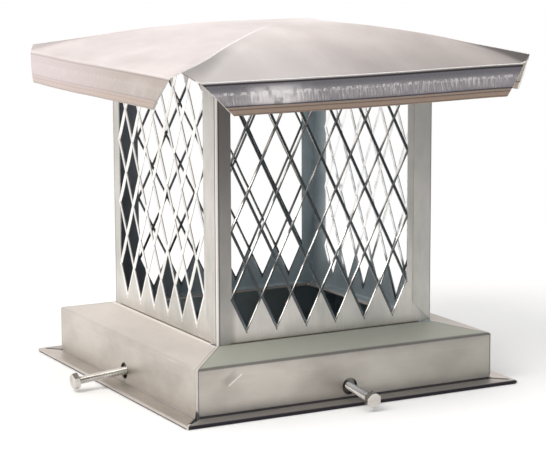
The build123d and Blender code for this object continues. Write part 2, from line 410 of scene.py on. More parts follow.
def add(tree, kind, *inputs, **settings):
    """Adds a node with its settings and links.

    Its kind is a node type, or a type with settings. Its inputs come in order, or by name in a dictionary.
    Each is a constant, an output, or the node that gives it.
    """
    kind, usual = kind if isinstance(kind, tuple) else (kind, {})
    made = tree.nodes.new(kind)
    for key, value in {**usual, **settings}.items():
        setattr(made, key, value)
    named = inputs[0] if inputs and isinstance(inputs[0], dict) else dict(enumerate(inputs))
    for key, value in named.items():
        if isinstance(value, bpy.types.Node):
            value = result(value)
        if isinstance(value, bpy.types.NodeSocket):
            tree.links.new(value, made.inputs[key])
        else:
            made.inputs[key].default_value = value
    return made


def millimetres(material, coordinates):
    """X, Y and Z of a place on the piece or on its flat sheet, in millimetres."""
    node = partial(add, material.node_tree)
    place = node("ShaderNodeTexCoord").outputs[coordinates]
    scaled = node("ShaderNodeVectorMath", {0: place, "Scale": 1 / MM}, operation="SCALE")
    return node("ShaderNodeSeparateXYZ", {0: scaled}).outputs


# Materials

def stainless(name, bright, dull, rolled, roughness, contrast, coordinates="UV"):
    """Mill-finish stainless sheet.

    Cold rolling leaves fine lines along the sheet, which spread a reflection across them. Handling leaves
    broad dull patches and a few long scratches.
    """
    material = bpy.data.materials.new(name)
    material.use_nodes = True
    tree = material.node_tree
    tree.nodes.clear()
    node = partial(add, tree)
    where = node("ShaderNodeTexCoord").outputs[coordinates]

    def pattern(along, across, detail=3.0, rough=0.5, shift=0.0):
        """Noise with marks this many millimetres long and wide."""
        size = (along, across, across) if rolled == "U" else (across, along, across)
        mapped = node("ShaderNodeMapping", {
            "Vector": where, "Scale": [1 / (side * MM) for side in size], "Location": [shift] * 3})
        return node("ShaderNodeTexNoise", {
            "Vector": mapped, "Scale": 1.0, "Detail": detail, "Roughness": rough})

    # Rolling lines are near 0.05 mm in life and drawn 0.8 mm wide, so that they show
    lines = pattern(60, 0.8, 4.0, 0.6)
    cloud = node(EVEN_RANGE, pattern(70, 38, 4.0, 0.6, 3.7), 0.35, 0.68)
    scratch = node(EVEN_RANGE, pattern(45, 0.5, 1.0, 0.4, 11.3), 0.68, 0.72)

    clouded = node(LAYER, {"Factor": cloud, "A": (*bright, 1), "B": (*dull, 1)})
    lighting = node(EVEN_RANGE, lines, 0.3, 0.7, 1 - contrast, 1 + contrast / 2)
    lined = node(LAYER, {"Factor": 1.0, "A": clouded, "B": lighting}, blend_type="MULTIPLY")
    lighter = (*(min(1, c * 1.35) for c in bright), 1)
    scratched = node(LAYER, {"Factor": node(TIMES, scratch, 0.25), "A": lined, "B": lighter})
    bump = node("ShaderNodeBump", {"Strength": contrast, "Distance": 0.05 * MM, "Height": lines})
    shader = node("ShaderNodeBsdfPrincipled", {
        "Base Color": scratched, "Metallic": 1.0,
        "Roughness": node(EVEN_RANGE, node(PLUS, cloud, lines), 0.3, 1.6, *roughness), "Normal": bump})
    node("ShaderNodeOutputMaterial", {"Surface": shader})
    return material


def dress(material, tones, matt=None, roughness=()):
    """Lays tones over a metal's colour, each with its share, makes it matt and roughens it."""
    tree = material.node_tree
    node = partial(add, tree)
    inputs = tree.nodes["Principled BSDF"].inputs
    toned = inputs["Base Color"].links[0].from_node
    for share, tone in tones:
        toned = node(LAYER, {"Factor": share, "A": toned, "B": (*tone, 1)})
    tree.links.new(result(toned), inputs["Base Color"])
    rough = inputs["Roughness"].links[0].from_node
    for share, over in roughness:
        rough = node("ShaderNodeMix", {"Factor": share, "A": rough, "B": over})
    tree.links.new(result(rough), inputs["Roughness"])
    if matt is not None:
        tree.links.new(result(node(MINUS, 1.0, matt)), inputs["Metallic"])


def dress_drip_edges(material, hood):
    """Tool marks and scuffs on the hood, with painted highlight and painted shade over its bends and panels.

    Each bend line and each ridge gets a painted highlight. Under a bend line lies a dark line of painted
    shade and then a clean, mirror-like strip. Below it a band is scuffed by fine upright streaks, most on the
    front and back edges, and the folded hem is a little brown, with fine lines of painted shade along it and
    over its fold.
    """
    node = partial(add, material.node_tree)
    u, v, _ = millimetres(material, "UV")
    x, y = node(SIZE_OF, u), node(SIZE_OF, v)
    sideways = node(MORE, x, y)
    along = node("ShaderNodeMix", {"Factor": sideways, "A": u, "B": v})
    depth = node(MINUS, node(LARGER, x, y), hood.half_width / MM)
    strength = node(MINUS, 1.0, node(TIMES, sideways, 0.8))

    def strip(low, high, soft):
        """1 between two depths under the bend line."""
        return node(TIMES, node(SOFT_RANGE, depth, low - soft, low + soft),
            node(SOFT_RANGE, depth, high - soft, high + soft, *FADING))

    def marks(wide, high, detail=3.0):
        """Noise with marks of this size."""
        spot = node("ShaderNodeCombineXYZ", {
            "X": node(OVER, along, wide), "Y": node(OVER, depth, high), "Z": sideways})
        return node("ShaderNodeTexNoise", {"Vector": spot, "Scale": 1.0, "Detail": detail})

    # Upright streaks, bright nicks where the tool first bit, and a scuffed patch near the left end
    fine = node(SOFT_RANGE, marks(1.1, 14, 4.0), 0.42, 0.68)
    broad = node(SOFT_RANGE, marks(16, 12), 0.3, 0.62)
    nicks = node(TIMES, node(SOFT_RANGE, marks(1.6, 3), 0.46, 0.58), strip(7.2, 9.4, 0.6))
    streaks = node(TIMES, node(TIMES, fine, node(PLUS, 0.25, node(TIMES, broad, 0.75))),
        strip(7.6, 16.0, 1.4))
    off_patch = node(SIZE_OF, node(OVER, node(PLUS, along, 82), 32))
    patch = node(TIMES, node(SOFT_RANGE, off_patch, 0.1, 1.0, *FADING), strip(3.5, 16.5, 2.0))
    patch = node(TIMES, patch, node(SOFT_RANGE, marks(9, 9), 0.25, 0.55))
    wear_and_painted_shade = node(PLUS, node(LARGER, node(TIMES, streaks, 0.55), node(TIMES, nicks, 0.55)),
        node(TIMES, strip(6.0, 16.0, 3.0), 0.2))
    scuff = node(TIMES, node(SMALLER, node(PLUS, wear_and_painted_shade, node(TIMES, patch, 0.6)), 1.0), strength)
    hem = node(TIMES, node(SOFT_RANGE, depth, 17.0, 17.6), node(PLUS, 0.25, node(TIMES, strength, 0.75)))
    # Painted shade: dark lines on the hem, under each bend line and over the hem's fold, weaker on the sides
    hem_lines = node(TIMES, node(LARGER, strip(18.6, 19.4, 0.3), strip(22.0, 23.5, 0.4)), 0.7)
    painted_crease_shade = node(LARGER, node(LARGER, strip(0.6, 2.0, 0.4), strip(16.3, 17.0, 0.35)), hem_lines)
    painted_crease_shade = node(TIMES, painted_crease_shade, node(MINUS, 1.0, node(TIMES, sideways, 0.75)))
    edge = node(SOFT_RANGE, depth, 0.3, 1.6)
    on_panel = node(MINUS, 1.0, node(LARGER, sideways, edge))

    # Painted shade: the left and right drip edges darken towards the front, the front panel towards the
    # right;
    # painted light brightens the front panel's left part
    painted_side_shade = node(TIMES, node(TIMES, sideways, edge), node(SOFT_RANGE, v, 110, -120, 0.15, 1.0))
    off_left = node(TIMES, node(SOFT_RANGE, u, -70, 60), node(SOFT_RANGE, v, -10, -50))
    off_left = node(TIMES, node(TIMES, off_left, 0.5), on_panel)
    front_left = node(TIMES, node(SOFT_RANGE, u, 0, -110), node(SOFT_RANGE, v, -15, -60))
    front_left = node(TIMES, front_left, on_panel)

    # Painted highlight on bend lines and ridges; painted shade of the ridge's facet beside the left front
    # ridge
    off_ridge = node(SIZE_OF, node(MINUS, x, y))
    ridge = node(TIMES, node(SOFT_RANGE, off_ridge, 0.7, 1.3, *FADING),
        node(SOFT_RANGE, x, 15, 70, 0.0, 0.8))
    painted_bend_highlight = node(LARGER, node(TIMES, strip(-1.4, -0.1, 0.3), strength),
        node(TIMES, ridge, node(MINUS, 1.0, edge)))
    beside = node(TIMES, node(SOFT_RANGE, off_ridge, 1.5, 17, *FADING), node(SOFT_RANGE, x, 50, 125))
    front_left_quarter = node(TIMES, node(LESS, u, 0.0), node(LESS, v, 0.0))
    beside = node(TIMES, node(TIMES, beside, on_panel), front_left_quarter)

    # Painted light, painted shade and painted highlight are laid here among the real scuffs and the hem's
    # tone
    tones = [
        (node(TIMES, front_left, 0.5), hood.painted_light_tone), (edge, hood.drip_tone),
        (node(TIMES, beside, 0.4), hood.painted_crease_shade_tone), (node(LARGER, painted_side_shade, off_left), hood.painted_shade_tone),
        (scuff, hood.scuff_and_painted_highlight_tone), (hem, hood.hem_tone), (node(TIMES, painted_crease_shade, 0.85), hood.painted_crease_shade_tone),
        (painted_bend_highlight, hood.scuff_and_painted_highlight_tone)]
    matt = node(LARGER, node(LARGER, node(TIMES, scuff, 0.75), painted_bend_highlight), node(TIMES, hem, 0.55))
    dress(material, tones, matt, [(edge, 0.26), (scuff, 0.62)])


def dress_skirt(material, skirt, screen, colours):
    """Dust, a scratch, and painted highlights and painted shade at the seams, folds and bends of the skirt.

    Dust greys the side ledges, which lie flat and are never wiped; the front and back ledges get painted
    shade.
    A painted highlight runs along the foot of the cage on the side ledges. Sheared ends at the corners get a
    painted highlight with a line of painted shade beside them. Painted shade darkens the front and back
    flanges, the junction of wall and flange, the fold at every flange's edge, the bend from wall to ledge at
    the front and back, and the right end of the front wall.
    """
    node = partial(add, material.node_tree)
    u, v, z = millimetres(material, "Object")
    x, y = node(SIZE_OF, u), node(SIZE_OF, v)
    sideways = node(MORE, x, y)
    frontways = node(MINUS, 1.0, sideways)
    reach = node(LARGER, x, y)
    off_corner = node(SIZE_OF, node(MINUS, x, y))
    wall, foot, top = skirt.half_width / MM, screen.half_width / MM, skirt.wall_top / MM

    # The ledge: dust on the side ledges, painted shade on the front and back ledges
    ledge = node(TIMES, node(SOFT_RANGE, reach, foot - 1, foot + 2),
        node(SOFT_RANGE, z, top - 0.6, top + 0.6))
    # Painted highlight along the foot of the cage on the side ledges
    foot_line = node(TIMES, node(TIMES, sideways, ledge),
        node(SOFT_RANGE, reach, foot + 1.6, foot + 3.2, *FADING))
    # Painted highlight on the sheared ends at the corners, and painted shade beside them
    seam = node(SOFT_RANGE, off_corner, 0.9, 1.3, *FADING)
    beside = node(TIMES, node(SOFT_RANGE, off_corner, 0.9, 1.3),
        node(SOFT_RANGE, off_corner, 1.7, 2.3, *FADING))
    # Painted shade on the front and back flanges
    flange = node(TIMES, node(SOFT_RANGE, z, 3.6, 5.0, *FADING), frontways)
    flange = node(TIMES, flange, node(SOFT_RANGE, reach, wall - 0.6, wall + 0.4))
    # Painted shade where the wall meets the flange
    junction = node(TIMES, node(SOFT_RANGE, z, 3.9, 4.7, *FADING),
        node(SOFT_RANGE, reach, wall + 1.2, wall + 2.4, *FADING))
    # Painted shadow on the fold at every flange's edge, higher on the front and back
    low = node(LARGER, node(TIMES, frontways, node(SOFT_RANGE, z, 2.4, 3.2, *FADING)),
        node(SOFT_RANGE, z, 0.9, 1.5, *FADING))
    fold = node(TIMES, node(SOFT_RANGE, reach, wall + 13.2, wall + 14.4), low)
    # Painted shade on the bend from wall to ledge at the front and back
    bend = node(TIMES, node(TIMES, frontways, node(SOFT_RANGE, z, top - 1.6, top - 0.8)),
        node(SOFT_RANGE, z, top + 0.2, top + 0.6, *FADING))
    # Painted shade towards the right end of the front wall, and towards the same end of the back wall
    wear_and_painted_shade = node(TIMES, node(TIMES, frontways, node(SOFT_RANGE, u, -60, 140, 0.0, 0.6)),
        node(TIMES, node(SOFT_RANGE, z, 5.0, 7.0), node(SOFT_RANGE, z, top, top + 0.6, *FADING)))

    # One long scratch on the front wall near the left corner, bright with a dull patch beside it
    right, up = node(PLUS, u, 95.8), node(MINUS, z, 28.2)
    along = node(PLUS, node(TIMES, right, 0.81), node(TIMES, up, 0.58))
    off = node(MINUS, node(TIMES, up, 0.81), node(TIMES, right, 0.58))
    in_front = node(LESS, v, -0.9 * wall)
    scratch = node(TIMES, node(TIMES, in_front, node(SOFT_RANGE, node(SIZE_OF, along), 6.0, 7.2, *FADING)),
        node(SOFT_RANGE, node(SIZE_OF, off), 0.3, 0.6, *FADING))
    rub = node(TIMES, in_front, node(SOFT_RANGE, node(SIZE_OF, node(PLUS, along, 3)), 2.0, 9.0, *FADING))
    rub = node(TIMES, rub, node(SOFT_RANGE, node(SIZE_OF, node(MINUS, off, 4)), 1.0, 4.5, *FADING))

    # The dark colour carries only painted shade; the light colour carries painted highlights and the scratch
    dark = node(LARGER, node(TIMES, junction, node(PLUS, 0.3, node(TIMES, frontways, 0.6))), fold)
    dark = node(LARGER, node(LARGER, dark, node(TIMES, beside, 0.55)), node(TIMES, bend, 0.5))
    bright = node(LARGER, node(LARGER, seam, foot_line), scratch)
    tones = [
        (wear_and_painted_shade, colours.wear_and_painted_shade), (node(TIMES, rub, 0.35), colours.grime_and_painted_shade),
        (node(TIMES, node(TIMES, ledge, sideways), 0.45), colours.dust_and_painted_highlight),
        (node(TIMES, node(TIMES, ledge, frontways), 0.8), colours.painted_ledge_shade),
        (node(TIMES, flange, 0.4), colours.grime_and_painted_shade), (dark, colours.painted_dark_shade), (bright, colours.dust_and_painted_highlight)]
    matt = node(LARGER, node(LARGER, node(TIMES, ledge, 0.45), node(TIMES, bright, 0.7)),
        node(TIMES, node(LARGER, dark, node(TIMES, flange, 0.5)), 0.6))
    dress(material, tones, matt, [(node(LARGER, ledge, dark), 0.7)])


def dress_screen(material, screen, colours):
    """Painted highlight on the folded corners of the cage, painted shade beside each, and on the front left
    post.
    """
    node = partial(add, material.node_tree)
    u, v, z = millimetres(material, "Object")
    off_corner = node(SIZE_OF, node(MINUS, node(SIZE_OF, u), node(SIZE_OF, v)))
    # Painted highlight on the folded corners, and painted shade beside them
    corner = node(SOFT_RANGE, off_corner, 1.0, 1.5, *FADING)
    beside = node(TIMES, node(SOFT_RANGE, off_corner, 1.0, 1.5),
        node(SOFT_RANGE, off_corner, 2.0, 2.6, *FADING))
    face = -screen.half_width / MM
    # Painted shade on the front left post, darker towards the top under the hood
    post = node(TIMES, node(SOFT_RANGE, v, 0.985 * face, 0.995 * face), node(SOFT_RANGE, u, -76, -82))
    post = node(TIMES, post, node(SOFT_RANGE, z, 60, 250, 0.4, 0.9))
    tones = [(post, colours.grime_and_painted_shade), (node(TIMES, beside, 0.6), colours.painted_dark_shade), (corner, colours.dust_and_painted_highlight)]
    dress(material, tones, node(TIMES, corner, 0.7))


def floor_material(paper):
    """Matt paper near the cap, where its shadow falls; further out a painted white glow, dimmer towards the
    front.
    """
    material = bpy.data.materials.new("matt_floor")
    material.use_nodes = True
    tree = material.node_tree
    tree.nodes.clear()
    node = partial(add, tree)
    place = node("ShaderNodeTexCoord").outputs["Object"]
    depth = node("ShaderNodeVectorMath", {0: place, 1: (-0.3, 0.95, 0)}, operation="DOT_PRODUCT")
    reach = node("ShaderNodeVectorMath", {0: place}, operation="LENGTH")
    ray = node("ShaderNodeLightPath")
    seen = node(LARGER, node(LARGER, ray.outputs["Is Camera Ray"], ray.outputs["Is Glossy Ray"]),
        ray.outputs["Is Transmission Ray"])
    matt = node("ShaderNodeBsdfDiffuse", {"Color": (*paper, 1)})
    # Painted glow for camera, glossy and transmission rays: strength 0.42 in front rising to 1 behind
    painted_glow_level = node(SOFT_RANGE, depth, -0.9, -0.3, 0.42)
    white = node("ShaderNodeEmission", {"Color": (1, 1, 1, 1), "Strength": painted_glow_level})
    far = node(TIMES, seen, node(SOFT_RANGE, reach, 0.35, 0.9))
    surface = node("ShaderNodeMixShader", {0: far, 1: matt, 2: white})
    node("ShaderNodeOutputMaterial", {"Surface": surface})
    return material


# Geometry node trees

def geometry_tree(name, sockets):
    """Tree with these named inputs, listed by kind, and what they give."""
    tree = bpy.data.node_groups.new(name, "GeometryNodeTree")
    for way in ("OUTPUT", "INPUT"):
        tree.interface.new_socket("Geometry", in_out=way, socket_type="NodeSocketGeometry")
    for kind, labels in sockets.items():
        for label in labels:
            tree.interface.new_socket(label, in_out="INPUT", socket_type=f"NodeSocket{kind}")
    return tree, add(tree, "NodeGroupInput").outputs


def grown(tree, name, values):
    """Plain mesh that a geometry tree makes from these values."""
    host = placed(name, bpy.data.meshes.new(name))
    modifier = host.modifiers.new(name, "NODES")
    modifier.node_group = tree
    for item in tree.interface.items_tree:
        if item.in_out == "INPUT" and item.name in values:
            modifier[item.identifier] = values[item.name]
    return evaluated(host)


def strand_tree():
    """Strands of an expanded sheet: one turned strip in each cell, leaning left and right by turns."""
    tree, given = geometry_tree("expanded_strands", {
        "Int": ("Columns", "Rows"),
        "Float": ("Diamond Width", "Diamond Length", "Strand Width", "Thickness", "Turn Left", "Turn Right"),
        "Material": ("Face Material", "Edge Material")})
    node = partial(add, tree)
    cell_width = node(OVER, given["Diamond Width"], 2.0)
    cell_length = node(OVER, given["Diamond Length"], 2.0)
    across, up = node(TIMES, given["Columns"], 2.0), node(TIMES, given["Rows"], 2.0)
    cells = node("GeometryNodeMeshGrid", {
        "Size X": node(TIMES, node(MINUS, across, 1.0), cell_width),
        "Size Y": node(TIMES, node(MINUS, up, 1.0), cell_length), "Vertices X": across, "Vertices Y": up})

    # A cell's strand leans left where its column and row are both even or both odd
    place = node("ShaderNodeSeparateXYZ", {0: node("GeometryNodeInputPosition")})
    column = node(FLOORED, node(PLUS, node(OVER, place.outputs["X"], cell_width), given["Columns"]))
    row = node(FLOORED, node(PLUS, node(OVER, place.outputs["Y"], cell_length), given["Rows"]))
    odd = node(REMAINDER, node(PLUS, column, row), 2.0)
    lean = node(TIMES, node(BEARING, cell_width, cell_length), node(MINUS, 1.0, node(TIMES, odd, 2.0)))
    facing = node("ShaderNodeCombineXYZ", {"Z": lean})

    diagonal = node(ROOT, node(PLUS, node(POWER, cell_width, 2.0), node(POWER, cell_length, 2.0)))
    size = node("ShaderNodeCombineXYZ", {
        "X": given["Strand Width"], "Y": node(PLUS, diagonal, given["Strand Width"]),
        "Z": given["Thickness"]})
    bar = node("GeometryNodeMeshCube", {"Size": size, "Vertices X": 2, "Vertices Y": 9, "Vertices Z": 2})

    # Its sheared edges are kept apart from its rolled faces
    normal = node("ShaderNodeSeparateXYZ", {0: node("GeometryNodeInputNormal")}).outputs["X"]
    marked = node("GeometryNodeCaptureAttribute", {"Geometry": bar}, domain="FACE")
    marked.capture_items.new("FLOAT", "Sheared")
    tree.links.new(node(MORE, node(SIZE_OF, normal), 0.5).outputs[0], marked.inputs["Sheared"])

    # The turn eases off towards the knots, where strands hold each other flat
    spot = node("GeometryNodeInputPosition")
    along = node("ShaderNodeSeparateXYZ", {0: spot}).outputs["Y"]
    ease = node(PLUS, 0.5, node(TIMES, 0.5, node(COSINE, node(TIMES, node(OVER, along, diagonal), math.pi))))
    both = node("GeometryNodeJoinGeometry")
    for label, selection in (("Turn Left", node(LESS, odd, 0.5)), ("Turn Right", node(MORE, odd, 0.5))):
        turned = node("ShaderNodeVectorRotate", {
            "Vector": spot, "Angle": node(TIMES, given[label], ease)}, rotation_type="Y_AXIS")
        strand = node("GeometryNodeSetPosition", {"Geometry": marked.outputs["Geometry"], "Position": turned})
        strands = node("GeometryNodeInstanceOnPoints", {
            "Points": cells, "Selection": selection, "Instance": strand, "Rotation": facing})
        tree.links.new(strands.outputs[0], both.inputs[0])
    real = node("GeometryNodeRealizeInstances", {"Geometry": both})
    rolled = node("GeometryNodeSetMaterial", {"Geometry": real, "Material": given["Face Material"]})
    dressed = node("GeometryNodeSetMaterial", {
        "Geometry": rolled, "Selection": marked.outputs["Sheared"], "Material": given["Edge Material"]})
    node("NodeGroupOutput", {0: dressed})
    return tree


def thread_tree():
    """Threaded rod up the Z axis, from 0 down, with a pointed lower end."""
    tree, given = geometry_tree("threaded_rod", {
        "Float": ("Radius", "Depth", "Pitch", "Length"), "Material": ("Material",)})
    node = partial(add, tree)
    rows_a_turn = 6.0
    turns_long = node(ROUNDED, node(OVER, given["Length"], given["Pitch"]))
    rod = node("GeometryNodeMeshCylinder", {
        "Vertices": 24, "Side Segments": node(TIMES, turns_long, rows_a_turn), "Radius": given["Radius"],
        "Depth": given["Length"]})
    place = node("ShaderNodeSeparateXYZ", {0: node("GeometryNodeInputPosition")})
    below = node(MINUS, place.outputs["Z"], node(OVER, given["Length"], 2.0))
    turns = node(OVER, node(BEARING, place.outputs["Y"], place.outputs["X"]), math.tau)
    winding = node(FRACTION, node(MINUS, node(OVER, below, given["Pitch"]), turns))
    groove = node(SIZE_OF, node(MINUS, node(TIMES, winding, 2.0), 1.0))
    bevel = node(PLUS, node(MINUS, given["Radius"], given["Depth"]), node(PLUS, below, given["Length"]))
    cut = node(MINUS, given["Radius"], node(TIMES, given["Depth"], groove))
    share = node(OVER, node(SMALLER, cut, bevel), given["Radius"])
    pulled = node("ShaderNodeCombineXYZ", {
        "X": node(TIMES, place.outputs["X"], share), "Y": node(TIMES, place.outputs["Y"], share), "Z": below})
    shaped = node("GeometryNodeSetPosition", {"Geometry": rod, "Position": pulled})
    real = node("GeometryNodeRealizeInstances", {"Geometry": shaped})
    dressed = node("GeometryNodeSetMaterial", {"Geometry": real, "Material": given["Material"]})
    node("NodeGroupOutput", {0: dressed})
    return tree


# Hood

def vault_height(hood, distance):
    """Height of the crown's arch over the bend lines, this far from the middle."""
    radius = (hood.half_width**2 + hood.crown_rise**2) / (2 * hood.crown_rise)
    return hood.crown_rise - radius + math.sqrt(radius**2 - distance**2)


def to_true_centre(value, middle, half_width):
    """Where a coordinate of the bent hood lies on one whose folds meet in the middle."""
    side = half_width - middle if value > middle else half_width + middle
    return (value - middle) / side * half_width


def from_true_centre(value, middle, half_width):
    """The other way round; the bend lines and all outside them stay where they are."""
    if abs(value) >= half_width:
        return value
    side = half_width - middle if value > 0 else half_width + middle
    return middle + value / half_width * side


def crown_height(hood, x, y):
    """Height of a true crown's top face over the bend lines, at a place in plan."""
    a, b = sorted((abs(x), abs(y)))
    vault = vault_height(hood, b)
    middle = (a + b) / 2
    if middle <= hood.ridge_root:
        return vault
    root = Vector((hood.ridge_root, hood.ridge_root, vault_height(hood, hood.ridge_root)))
    peak = Vector((hood.ridge_reach, hood.ridge_reach, hood.ridge_height))
    foot = Vector((hood.half_width - hood.corner_cut, hood.half_width, 0))
    normal = (peak - root).cross(foot - root)
    ridge = root.z - (normal.x * (a - root.x) + normal.y * (b - root.y)) / normal.z
    soft = 0.8 * MM * min(1, (middle - hood.ridge_root) / (20 * MM))
    gap = max(soft - abs(vault - ridge), 0)
    return max(vault, ridge) + (gap**2 / (4 * soft) if soft > 0 else 0)


def bent_by_hand(hood, p):
    """Where a point of the true hood lies on one that was bent by hand.

    Its folds meet off the middle, its front edge sags to the left, its left edge is a little high, its left
    corners are bent sideways, and the whole sheet wanders.
    """
    p = Vector([from_true_centre(p[i], hood.centre[i], hood.half_width) for i in (0, 1)] + [p.z])
    reach = max(abs(p.x), abs(p.y))
    still, growing = 95 * MM, 54 * MM  # the edges' sag and lift begin here and grow over this distance
    near = held((reach - still) / growing)
    near *= near * (3 - 2 * near)
    side = held((abs(p.y) - abs(p.x)) / hood.corner_cut, -1)
    if side > 0 and p.y < 0:
        p.z -= near * side * hood.sag * (0.6 - 0.4 * p.x / hood.half_width)
    elif side < 0 and p.x < 0:
        p.z -= near * side * hood.lift
    p += TO_THE_RIGHT * hood.offset
    pull_reach = 75 * MM  # a corner bent sideways takes the sheet within this distance along
    for corner, pull in (((-1, -1), -hood.corner_pull), ((-1, 1), 0.8 * hood.corner_pull)):
        gap = (p.xy - Vector(corner) * hood.ridge_reach).length
        hold = max(0, 1 - gap / pull_reach) ** 2 * (1 - side if side > 0 else 1 + 0.2 * side)
        p += TO_THE_RIGHT * pull * hold
    flat = Vector((p.x, p.y, 0))
    slow, quick = flat / (110 * MM) + Vector((4.2, 1.7, 0.3)), flat / (42 * MM)
    dip = 0.65 * noise.noise(slow) + 0.35 * noise.noise(quick)
    p.z += hood.eave + hood.wander * dip * min(1, reach / (60 * MM))
    p.z = min(p.z, hood.eave + hood.crown_rise)
    depth = hood.eave - 2 * MM - p.z
    if depth > 0 and reach > hood.half_width - 3 * MM:
        out, along = (Vector((p.x, 0, 0)), p.y) if abs(p.x) > abs(p.y) else (Vector((0, p.y, 0)), p.x)
        sway = noise.noise(Vector((along / (55 * MM), out.x * 9, out.y * 9)))
        p += out.normalized() * 0.5 * MM * sway * depth / hood.drip_height
    return p


def crown_outline(hood):
    """Edge of one quarter of the crown in plan, from ridge to ridge, and where a drip edge hangs from it."""
    gable_steps, eave_steps = 5, 72
    corner = Vector((-hood.ridge_reach, hood.ridge_reach))
    foot = Vector((hood.corner_cut - hood.half_width, hood.half_width))
    gable = [corner.lerp(foot, k / gable_steps) for k in range(gable_steps)]
    eave = [Vector((foot.x * (1 - 2 * k / eave_steps), foot.y)) for k in range(eave_steps + 1)]
    other_gable = [Vector((-p.x, p.y)) for p in reversed(gable)]
    return [(p, False) for p in gable] + [(p, True) for p in eave] + [(p, False) for p in other_gable]


def drip_section(hood, t, run_in):
    """Section of a drip edge from the crown's last row, round the bend, down, round the hem and back up."""
    slope = Vector((hood.drip_splay, -hood.drip_height)).normalized()
    inward = Vector((slope.y, -slope.x))
    edge = Vector((hood.half_width, 0))
    fall = hood.drip_height / -slope.y
    start = Vector((hood.half_width - run_in, vault_height(hood, hood.half_width - run_in)))
    section = []
    for q in (0.25, 0.5, 0.75, 1):
        section.append(start * (1 - q)**2 + edge * 2 * q * (1 - q) + (edge + slope * run_in) * q * q)
    for k in range(1, 10):
        belly = hood.bow * math.sin(math.pi * k / 9)
        section.append(edge + slope * (run_in + (fall - t - run_in) * k / 9) - inward * belly)
    for k in range(1, 6):
        a = math.pi * k / 6
        section.append(edge + slope * (fall - t + t * math.sin(a)) + inward * t * (1 - math.cos(a)))
    section += [edge + inward * 2 * t + slope * (fall - t - (hood.hem - t) * k / 3) for k in range(4)]
    section += [edge + inward * t + slope * (fall - hood.hem) * (1 - k / 5) for k in range(5)]
    section.append(start.lerp(edge, 0.6) + Vector((-0.1 * t, -1.15 * t)))
    return section


def hood_shell(hood, sheet):
    """One sheet: crown, four drip edges and their hems, with its own thickness."""
    t = sheet.thickness
    shell = Shell()
    rows = 56
    run_in = 1.3 * MM  # from a bend line to where its curve begins
    tuck = 0.9  # how far a drip edge narrows, for each length down
    section = drip_section(hood, t, run_in)
    top_middle, under_middle = (shell.point((0, 0, z)) for z in (hood.crown_rise, hood.crown_rise - t))
    for angle in SIDES.values():
        columns = []
        for spot, eave in crown_outline(hood):
            last = 1 - run_in / hood.half_width if eave else 1
            upper, under, loop = [], [], []
            for j in range(1, rows + 1):
                x, r = spot * last * (j / rows)
                z = crown_height(hood, r, x)
                flat = side_place(angle, r, x, 0)[:2]
                upper.append(shell.point(side_place(angle, r, x, z), flat))
                under.append(shell.point(side_place(angle, r, x, z - t), flat))
            for p in section if eave else ():
                depth = max(0, -p.y)
                x = spot.x * (1 - depth * tuck / (hood.half_width - hood.corner_cut))
                flat = side_place(angle, hood.half_width + depth, x, 0)[:2]
                loop.append(shell.point(side_place(angle, p.x, x, p.y), flat))
            columns.append((upper, loop, under))
        for (upper, loop, under), (upper2, loop2, under2) in zip(columns, columns[1:]):
            shell.faces.append((top_middle, upper[0], upper2[0]))
            shell.faces.append((under_middle, under2[0], under[0]))
            if not (loop and loop2):
                loop = loop2 = []
            shell.quads([*upper, *loop, *reversed(under)], [*upper2, *loop2, *reversed(under2)])
        ends = [c for c in columns if c[1]]
        for upper, loop, under in (ends[0], ends[-1]):
            shell.inner.add(len(shell.faces))
            shell.faces.append((upper[-1], *loop, under[-1]))
    shell.points = [bent_by_hand(hood, p) for p in shell.points]
    return shell


# Screen

def head_level(hood, screen, sheet, angle, distance):
    """Height of a mesh side's head, just under the lowest place of the hood over it."""
    heights = []
    for k in range(-4, 5):
        p = side_place(angle, distance, screen.half_width * k / 4, 0)
        x, y = (to_true_centre(p[i], hood.centre[i], hood.half_width) for i in (0, 1))
        heights.append(crown_height(hood, x, y))
    return hood.eave + min(heights) - sheet.thickness - screen.seat - hood.wander / 2


